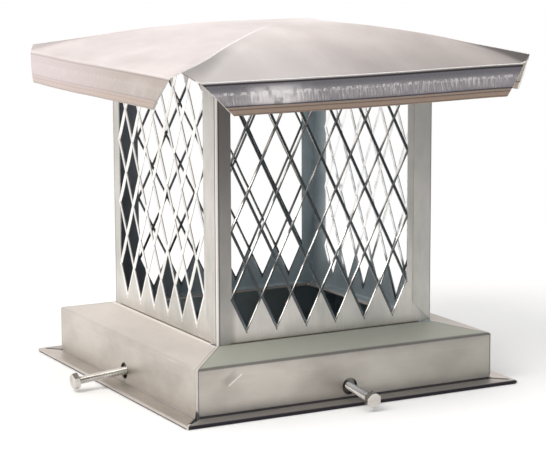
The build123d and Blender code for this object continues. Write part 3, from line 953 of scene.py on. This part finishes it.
def screen_shell(screen, hood, sheet, angle):
    """Solid borders, sill, head, teeth, lap tab and weld flanges of one side."""
    t = sheet.thickness
    r = screen.half_width
    outer = sheet.bend + t
    left = -r - t
    right = r - t - sheet.seam / 2
    field_left = screen.border - r
    field_foot = screen.foot + screen.sill
    half_w, half_l = screen.diamond_width / 2, screen.diamond_length / 2
    field_head = field_foot + screen.rows * screen.diamond_length
    head = head_level(hood, screen, sheet, angle, r + t)
    flange_end = r - screen.weld_flange - t
    knots = [field_left + half_w * k for k in range(2 * screen.columns + 1)]
    quarter_turn = [math.pi / 2 * k / 4 for k in range(1, 5)]
    shell = Shell()
    known = {}

    def point(distance, s, z, flat):
        """Point of the sheet, made once, with its place on the flat sheet."""
        key = tuple(round(value / MM, 3) for value in (distance, s, z))
        if key not in known:
            known[key] = shell.point(side_place(angle, distance, s, z), flat)
        return known[key]

    def face(*corners):
        """Face in the plane of the mesh."""
        shell.faces.append([point(r, s, z, (s, z)) for s, z in corners])

    def block(s0, s1, z0, z1):
        face((s0, z0), (s1, z0), (s1, z1), (s0, z1))

    rises = [screen.foot + outer, field_foot]
    rises += [field_foot + half_l * k / 2 for k in range(1, 4 * screen.rows)]
    rises += [screen.foot + screen.lap, field_head, head - outer]
    rises.sort()
    # Strips beside the mesh
    for band in ([left + outer, -flange_end, field_left], [knots[-1], flange_end, right]):
        for s0, s1 in zip(band, band[1:]):
            for z0, z1 in zip(rises, rises[1:]):
                block(s0, s1, z0, z1)
    # Sill and head under and over the mesh
    for s0, s1 in zip(knots, knots[1:]):
        block(s0, s1, rises[0], field_foot)
        block(s0, s1, field_head, rises[-1])
    # Teeth
    for k in range(0, 2 * screen.columns + 1, 2):
        for base, tip in ((field_foot, field_foot + half_l), (field_head, field_head - half_l)):
            half_way = (base + tip) / 2
            for beside in (k - 1, k + 1):
                if 0 <= beside < len(knots):
                    middle = (knots[k] + knots[beside]) / 2
                    face((knots[k], base), (knots[beside], base), (middle, half_way), (knots[k], half_way))
                    face((knots[k], half_way), (middle, half_way), (knots[k], tip))

    # Bend round the corner and the tab on the next side
    turned = []
    for z in (screen.foot, *rises, head):
        line = [point(r, left + outer, z, (left + outer, z))]
        for k, a in enumerate(quarter_turn, 1):
            s = left + outer - outer * math.sin(a)
            line.append(point(r - outer + outer * math.cos(a), s, z, (s - k * 0.1 * MM, z)))
        tab_edge = max(r - screen.lap, r - (z - screen.foot))
        for k in range(1, 4):
            distance = r - outer + (tab_edge - r + outer) * k / 3
            line.append(point(distance, left, z, (left - (r - distance), z)))
        turned.append(line)
    for lower, upper in zip(turned, turned[1:]):
        shell.quads(lower, upper)

    # Head and foot: straight at the ends, turned in between them
    line = sorted({round(s, 7) for s in [left + outer, -flange_end, field_left, *knots, flange_end, right]})
    inner = r - screen.weld_flange
    rise = head_level(hood, screen, sheet, angle, inner) - head
    turns = ((rises[0], screen.foot, screen.foot, -1), (rises[-1], head, head + rise, 1))
    for bend_z, level, far, way in turns:
        for s0, s1 in zip(line, line[1:]):
            if s0 < -flange_end - TINY or s1 > flange_end + TINY:
                block(s0, s1, bend_z, level)
                continue
            ends = []
            for s in (s0, s1):
                path = [point(r, s, bend_z, (s, bend_z))]
                for k, a in enumerate(quarter_turn, 1):
                    path.append(point(r - outer + outer * math.cos(a), s, bend_z + way * outer * math.sin(a),
                                      (s, bend_z + way * k * 0.5 * MM)))
                path.append(point(inner, s, far, (s, level + way * screen.weld_flange)))
                ends.append(path)
            shell.quads(*ends)
    return shell


# Skirt

def skirt_drift(skirt, screen, angle, s, r, z, ease):
    """How far the sheet wanders here: the ledge sinks, the wall bellies and the flange lifts a little."""
    drift = noise.noise(Vector((s / (60 * MM) + angle, r / (25 * MM), z / (18 * MM))))
    if z > skirt.wall_top - 2 * MM:
        from_cage = held((r - screen.half_width - 2 * MM) / (8 * MM))
        free = Vector((0, 0, -0.3 * (1 + drift))) * ease * from_cage
    elif z > skirt.flange_level + 2 * MM:
        up = (z - skirt.flange_level) / (skirt.wall_top - skirt.flange_level)
        free = side_place(angle, 1, 0, 0) * drift * ease * math.sin(math.pi * held(up)) * 0.9
    else:
        free = Vector((0, 0, 0.45 * max(0, drift))) * held((r - skirt.half_width) / (12 * MM))
    return free * skirt.wander


def skirt_shell(skirt, screen, sheet, angle):
    """Ledge, wall and flange bent from one sheet, with its hem."""
    edge = skirt.half_width + skirt.flange_reach
    outer = sheet.bend + sheet.thickness
    hem = skirt.flange_level / 2 - 0.05 * MM
    samples = bent(
        [(screen.half_width - skirt.lip, screen.foot), (screen.half_width + sheet.thickness, screen.foot),
         (skirt.half_width, skirt.wall_top), (skirt.half_width, skirt.flange_level),
         (edge, skirt.flange_level), (edge, 0), (edge - skirt.hem_return, 0)],
        [outer, outer, sheet.bend, hem, hem], 5)
    samples = refined(samples, 6 * MM)
    slot_end = skirt.half_width + skirt.slot_length
    marked = []
    for (p0, n0), (p1, n1) in zip(samples, samples[1:]):
        marked.append((p0, n0))
        if p0.y < skirt.flange_level + 0.1 * MM and (p0.x - slot_end) * (p1.x - slot_end) < 0:
            near = p0.lerp(p1, (slot_end - p0.x) / (p1.x - p0.x))
            marked += [(near, n0), (near, n0)]
    marked.append(samples[-1])

    def clear(i):
        """How far the end stands back from the corner line at one sample."""
        p = marked[i][0]
        seam = sheet.seam / math.sqrt(2)
        slot = skirt.slot_width / 2 * math.sqrt(2)
        if p.y > skirt.flange_level + 0.9 * MM:
            return seam
        if abs(p.x - slot_end) < TINY:
            first = abs(marked[i + 1][0].x - slot_end) < TINY
            return slot if marked[i - 1 if first else i + 1][0].x < slot_end else seam
        return slot if p.x < slot_end else seam

    shell = Shell()
    steps = 64
    columns = []
    for k in range(steps + 1):
        u = 2 * k / steps - 1
        ease = min(1, (1 - abs(u)) * 6)
        outer_row, inner_row = [], []
        path = 0
        for i, (p, n) in enumerate(marked):
            if i:
                path += (p - marked[i - 1][0]).length
            for row, spot in ((outer_row, p), (inner_row, p + n * sheet.thickness)):
                s = u * (spot.x - clear(i))
                place = side_place(angle, spot.x, s, spot.y)
                drift = skirt_drift(skirt, screen, angle, s, spot.x, spot.y, ease)
                row.append(shell.point(place + drift, (s, path)))
        columns.append((outer_row, inner_row))
        if k in (0, steps):
            shell.quads(outer_row, inner_row)
    for (outer, inner), (outer2, inner2) in zip(columns, columns[1:]):
        shell.quads(outer, outer2)
        shell.quads(inner, inner2, inner=True)
        shell.faces += [(outer[end], outer2[end], inner2[end], inner[end]) for end in (0, -1)]
    return shell


def lap_tab(skirt, sheet, angle):
    """Tab at the left end of a wall, which lies behind the next wall and closes the seam."""
    shell = Shell()
    far, near = skirt.half_width - sheet.thickness, skirt.half_width - sheet.seam - skirt.lap
    low = skirt.flange_level / 2
    high = low + skirt.wall_top - skirt.flange_level - 2 * sheet.bend
    rings = []
    for z in (low, high):
        corners = ((near, -far), (far, -far), (far, sheet.thickness - far), (near, sheet.thickness - far))
        ring = [shell.point(side_place(angle, r, s, z), (s + r, z)) for r, s in corners]
        shell.faces.append(ring)
        rings.append(ring + ring[:1])
    shell.quads(*rings)
    return shell


def cut_hole(piece, angle, skirt):
    """Mesh of a skirt side with the bolt hole punched through its wall."""
    bm = bmesh.new()
    bmesh.ops.create_cone(
        bm, cap_ends=True, segments=48, radius1=skirt.hole, radius2=skirt.hole, depth=12 * MM)
    mesh = written(bm, bpy.data.meshes.new("punch"))
    mesh.transform(Matrix.Translation((0, 0, skirt.hole_level)) @ side_matrix(angle, skirt.half_width))
    punch = placed("punch", mesh)
    cut = piece.modifiers.new("hole", "BOOLEAN")
    cut.operation = "DIFFERENCE"
    cut.solver = "EXACT"
    cut.object = punch
    cut_mesh = evaluated(piece)
    bpy.data.objects.remove(punch)
    return cut_mesh


# Bolts and nuts

def turned(shell, rows, flats=0):
    """Rings round Z, each with its radius and height.

    Either may be a function of h, which is how far a hexagon's side lies from the axis in that direction.
    """
    around = 72
    rings = []
    for radius, height in rows:
        ring = []
        for k in range(around):
            a = math.tau * k / around
            h = flats / 2 / math.cos((a + math.pi / 6) % (math.pi / 3) - math.pi / 6)
            r, z = (value(h) if callable(value) else value for value in (radius, height))
            x, y = r * math.cos(a), r * math.sin(a)
            ring.append(shell.point((x, y, z), (x, y + z)))
        rings.append(ring + ring[:1])
    for lower, upper in zip(rings, rings[1:]):
        shell.quads(lower, upper)


def bevel(fastener):
    """Radius where a hexagon's flat end meets its bevel, and how far the bevel has fallen at a side."""
    flat_share, slope = 0.96, math.radians(30)
    rim = fastener.hexagon / 2 * flat_share
    return rim, lambda h: (h - rim) * math.tan(slope)


def bolt_head(fastener):
    """Hex head, bevelled and a little hollow on top."""
    shell = Shell()
    rim, fall = bevel(fastener)
    top = fastener.head_height
    turned(shell, [
        (TINY, 0), (rim, 0), (lambda h: h, 0), (lambda h: h, lambda h: top - fall(h)), (rim, top),
        (rim * 0.55, top - 0.12 * MM), (TINY, top - 0.14 * MM)], fastener.hexagon)
    return shell


def flange_nut(fastener):
    """Flange with a softened edge, and a hexagon bevelled at its free end."""
    shell = Shell()
    bore = fastener.radius + fastener.clearance
    wide, soft, lead = fastener.nut_flange, 0.35 * MM, 0.4 * MM
    low = -fastener.nut_flange_height
    turned(shell, [
        (bore, low), (wide - soft, low), (wide, low + soft), (wide, -soft), (wide - soft, 0), (bore, 0),
        (bore, low)])
    rim, fall = bevel(fastener)
    end = low - fastener.nut_height
    turned(shell, [
        (bore, end + lead), (bore + lead, end), (rim, end), (lambda h: h, lambda h: end + fall(h)),
        (lambda h: h, low), (rim, low), (bore + lead, low), (bore, low - lead), (bore, end + lead)],
        fastener.hexagon)
    return shell


def bolt_matrix(angle, fastener, skirt, sheet, out):
    """Z out along the drooping bolt, at this distance outside the middle of the wall's sheet."""
    centre = side_place(angle, skirt.half_width - sheet.thickness / 2, 0, skirt.hole_level)
    axis = side_place(angle, math.cos(fastener.droop), 0, -math.sin(fastener.droop))
    across = side_place(angle, 0, 1, 0)
    return axes_at(centre + axis * out, across, axis.cross(across), axis)


# Operators

def settings():
    """Sizes and colours as they are set in this scene."""
    return bpy.context.scene.chimney_cap


class CHIMNEYCAP_OT_hood(Operator):
    """Build the crowned hood with its drip edges"""
    bl_idname = "chimneycap.hood"
    bl_label = "Hood"

    def execute(self, context):
        s = settings()
        c = s.colours
        # The hood's rolling lines run front to back, so they cross the front drip edge
        metal = stainless("mill_stainless_hood", c.hood, c.hood_dull, "V", (0.3, 0.4), 0.03)
        dress_drip_edges(metal, s.hood)
        cut = stainless("sheared_stainless_hood_edge", c.sheared, c.screen, "V", (0.2, 0.3), 0.04)
        piece = hood_shell(s.hood, s.sheet).piece("hood", metal, inside=cut)
        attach(piece, CAP)
        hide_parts("lid")
        return {"FINISHED"}


class CHIMNEYCAP_OT_screens(Operator):
    """Build the four mesh sides"""
    bl_idname = "chimneycap.screens"
    bl_label = "Mesh sides"

    def execute(self, context):
        s = settings()
        c = s.colours
        screen = s.screen
        metal = stainless("mill_stainless_screen", c.screen, c.screen_dull, "V", (0.36, 0.48), 0.02)
        dress_screen(metal, screen, c)
        # The inside faces take a teal, darker copy of the screen metal: painted shade
        inside = stainless("painted_shade_stainless_inside", c.inside, c.painted_inside_shade, "V", (0.34, 0.46), 0.03)
        inside.node_tree.nodes["Principled BSDF"].inputs["Metallic"].default_value = c.inside_metal
        # Painted shade on the inside faces, darker towards the left
        left_to_right = millimetres(inside, "Object")[0]
        dress(inside, [(add(inside.node_tree, SOFT_RANGE, left_to_right, 20, -88, 0.0, 0.8), c.painted_dark_shade)])
        # Darker and brighter copies of the strand metal: painted shade on the front and back strands, painted
        # highlight on the left
        dark = stainless("stretched_stainless_painted_shade", c.strand, c.painted_shade_strand_dull, "V", (0.2, 0.3), 0.04)
        bright = stainless("stretched_stainless_painted_highlight", c.bright, c.sheared, "V", (0.16, 0.24), 0.03)
        pale = stainless("stretched_stainless_painted_reflection", c.floor, c.bright, "V", (0.1, 0.16), 0.02)
        edge = stainless("sheared_stainless_edge", c.sheared, c.screen, "V", (0.2, 0.3), 0.04)
        # The right side's strands were stretched less, so from inside they lie flat; a pale copy of the
        # metal, in the floor's white, is a painted reflection of the white wall on them
        strand_looks = {"front": (dark, edge, screen.turn_right), "back": (dark, edge, screen.turn_right),
                        "left": (bright, edge, screen.turn_right), "right": (pale, pale, screen.turn_left)}
        tree = strand_tree()
        middle = screen.border - screen.half_width + screen.columns * screen.diamond_width / 2
        height = screen.foot + screen.sill + screen.rows * screen.diamond_length / 2
        for side, angle in SIDES.items():
            name = f"screen_{side}"
            base = screen_shell(screen, s.hood, s.sheet, angle).piece(f"{name}_sheet", metal, inside=inside)
            base.data.materials.append(edge)
            thick = base.modifiers.new("thickness", "SOLIDIFY")
            thick.thickness = s.sheet.thickness
            thick.offset = -1
            thick.material_offset = 1
            thick.material_offset_rim = 2
            thick.use_even_offset = True
            sheet_mesh = evaluated(base)
            faces, edges, turn_right = strand_looks[side]
            strands = grown(tree, f"{name}_strands", {
                "Columns": screen.columns, "Rows": screen.rows, "Diamond Width": screen.diamond_width,
                "Diamond Length": screen.diamond_length, "Strand Width": screen.strand,
                "Thickness": s.sheet.thickness, "Turn Left": screen.turn_left, "Turn Right": turn_right,
                "Face Material": faces, "Edge Material": edges})
            strands.transform(Matrix.Translation((middle, height, -s.sheet.thickness / 2)))
            lay_flat(strands, [vertex.co.xy for vertex in strands.vertices])
            strands.transform(side_matrix(angle, screen.half_width))
            piece = joined(name, [sheet_mesh, strands])
            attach(piece, CAP)
            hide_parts(f"mesh_{side}")
        return {"FINISHED"}


class CHIMNEYCAP_OT_skirts(Operator):
    """Build the four skirt sides"""
    bl_idname = "chimneycap.skirts"
    bl_label = "Skirt sides"

    def execute(self, context):
        s = settings()
        c = s.colours
        metal = stainless("mill_stainless_skirt", c.skirt, c.skirt_dull, "U", (0.38, 0.5), 0.025)
        dress_skirt(metal, s.skirt, s.screen, c)
        # The inside of the skirt takes a darker copy of the metal: painted shade where no light gets in
        inside = stainless("painted_shade_stainless_skirt_inside", c.painted_skirt_shade, c.painted_inside_shade, "U", (0.4, 0.55), 0.03)
        for side, angle in SIDES.items():
            name = f"skirt_side_{side}"
            shell = skirt_shell(s.skirt, s.screen, s.sheet, angle)
            whole = shell.piece(f"{name}_sheet", metal, inside=inside)
            tab = lap_tab(s.skirt, s.sheet, angle).piece(f"{name}_tab", inside)
            piece = joined(name, [cut_hole(whole, angle, s.skirt), evaluated(tab)])
            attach(piece, CAP)
            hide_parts(f"skirt_{side}")
        return {"FINISHED"}


class CHIMNEYCAP_OT_bolts(Operator):
    """Build the four clamp bolts"""
    bl_idname = "chimneycap.bolts"
    bl_label = "Clamp bolts"

    def execute(self, context):
        s = settings()
        c, f = s.colours, s.fastener
        rolled = stainless("rolled_stainless_thread", c.bolt, c.skirt_dull, "U", (0.08, 0.16), 0.08, "Object")
        forged = stainless("forged_stainless_head", c.bolt, c.skirt_dull, "U", (0.16, 0.26), 0.1, "Object")
        tree = thread_tree()
        for side, angle in SIDES.items():
            rod = grown(tree, f"rod_{side}", {
                "Radius": f.radius, "Depth": f.depth, "Pitch": f.pitch, "Length": f.bolt_length,
                "Material": rolled})
            head = evaluated(bolt_head(f).piece(f"head_{side}", forged, 25))
            piece = joined(f"clamp_bolt_{side}_piece", [rod, head], 25)
            standoff = f.short_standoff if side in ("front", "back") else f.long_standoff
            piece.data.transform(bolt_matrix(angle, f, s.skirt, s.sheet, s.sheet.thickness / 2 + standoff))
            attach(piece, f"clamp_bolt_{side}")
            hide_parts(f"bolt_{side}")
        return {"FINISHED"}


class CHIMNEYCAP_OT_nuts(Operator):
    """Build the four flange nuts inside the walls"""
    bl_idname = "chimneycap.nuts"
    bl_label = "Flange nuts"

    def execute(self, context):
        s = settings()
        c, f = s.colours, s.fastener
        # The nuts take a darker copy of the bolt metal: painted shade inside the walls
        metal = stainless("painted_shade_stainless_nut", c.nut, c.grime_and_painted_shade, "U", (0.25, 0.4), 0.08, "Object")
        behind_wall = s.sheet.thickness / 2 + s.screen.seat + f.nut_flange * math.sin(f.droop)
        for side, angle in SIDES.items():
            piece = flange_nut(f).piece(f"flange_nut_{side}", metal, 25)
            piece.data.transform(bolt_matrix(angle, f, s.skirt, s.sheet, -behind_wall / math.cos(f.droop)))
            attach(piece, CAP)
            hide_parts(f"nut_{side}")
        return {"FINISHED"}


class CHIMNEYCAP_OT_stage(Operator):
    """Set up the floor, the lamps, the sky and the camera"""
    bl_idname = "chimneycap.stage"
    bl_label = "Studio"

    def execute(self, context):
        scene = context.scene
        c = settings().colours

        bm = bmesh.new()
        bmesh.ops.create_circle(bm, cap_ends=True, segments=96, radius=14)
        floor_mesh = written(bm, bpy.data.meshes.new("floor"))
        finished("floor", floor_mesh, [floor_material(c.floor)])

        scene.world = bpy.data.worlds.new("studio")
        scene.world.use_nodes = True
        tree = scene.world.node_tree
        background = tree.nodes["Background"].inputs
        node = partial(add, tree)
        direction = node("ShaderNodeTexCoord").outputs["Generated"]
        behind = node("ShaderNodeVectorMath", {
            0: direction, 1: (-0.5, 0.86, 0.1)}, operation="DOT_PRODUCT")
        height = node("ShaderNodeSeparateXYZ", {0: direction}).outputs["Z"]
        sky = (*c.sky_front, 1)
        for share, tone in ((node(SOFT_RANGE, behind, -0.6, 0.4), c.sky_behind),
                            (node(SOFT_RANGE, height, 0.42, 0.88), c.sky_top),
                            (node(SOFT_RANGE, height, 0.87, 0.98), c.sky_zenith)):
            sky = node(LAYER, {"Factor": share, "A": sky, "B": (*tone, 1)})
        tree.links.new(result(sky), background["Color"])
        background["Strength"].default_value = 1.2

        # Place, size, power and colour
        lamps = {
            "key": ((-1.9, -0.5, 2.2), 1.8, 46, (1.0, 0.97, 0.94)),
            "top": ((0.2, -0.2, 2.8), 2.0, 30, (1, 1, 1)),
        }
        aim = Vector((0, 0, 0.12))
        for name, (place, size, power, tint) in lamps.items():
            lamp = bpy.data.lights.new(name, "AREA")
            lamp.size = size
            lamp.energy = power
            lamp.color = tint
            holder = placed(name, lamp)
            holder.location = place
            holder.rotation_mode = "QUATERNION"
            holder.rotation_quaternion = (aim - Vector(place)).to_track_quat("-Z", "Y")
            holder.visible_glossy = name == "key"

        camera = bpy.data.cameras.new("camera")
        camera.lens = 132.67
        camera.sensor_width = 36
        camera.clip_start = 0.05
        camera.clip_end = 100
        right = Vector((0.88112618, -0.47286772, -0.00357461))
        up = Vector((0.08120064, 0.14385103, 0.98626231))
        scene.camera = placed("camera", camera)
        scene.camera.matrix_world = axes_at(Vector((-0.7426, -1.3926, 0.3796)), right, up, right.cross(up))

        scene.view_settings.view_transform = "Standard"
        return {"FINISHED"}


class CHIMNEYCAP_PT_panel(Panel):
    """Lists the pieces and their sizes"""
    bl_idname = "CHIMNEYCAP_PT_panel"
    bl_label = "Chimney cap"
    bl_space_type = "VIEW_3D"
    bl_region_type = "UI"
    bl_category = "Chimney cap"

    def draw(self, context):
        for kind in OPERATORS:
            self.layout.operator(kind.bl_idname)
        for name in CapSettings.__annotations__:
            group = getattr(settings(), name)
            box = self.layout.box()
            for key in group.__annotations__:
                box.prop(group, key)


GROUPS = (SheetSettings, HoodSettings, ScreenSettings, SkirtSettings, FastenerSettings, ColourSettings,
          CapSettings)
OPERATORS = (CHIMNEYCAP_OT_hood, CHIMNEYCAP_OT_screens, CHIMNEYCAP_OT_skirts, CHIMNEYCAP_OT_bolts,
             CHIMNEYCAP_OT_nuts, CHIMNEYCAP_OT_stage)


def register():
    for kind in (*GROUPS, *OPERATORS, CHIMNEYCAP_PT_panel):
        bpy.utils.register_class(kind)
    bpy.types.Scene.chimney_cap = PointerProperty(type=CapSettings)


def unregister():
    del bpy.types.Scene.chimney_cap
    for kind in reversed((*GROUPS, *OPERATORS, CHIMNEYCAP_PT_panel)):
        bpy.utils.unregister_class(kind)


def main():
    register()
    for kind in OPERATORS:
        getattr(bpy.ops.chimneycap, kind.bl_idname.split(".")[1])()


if __name__ == "__main__":
    main()
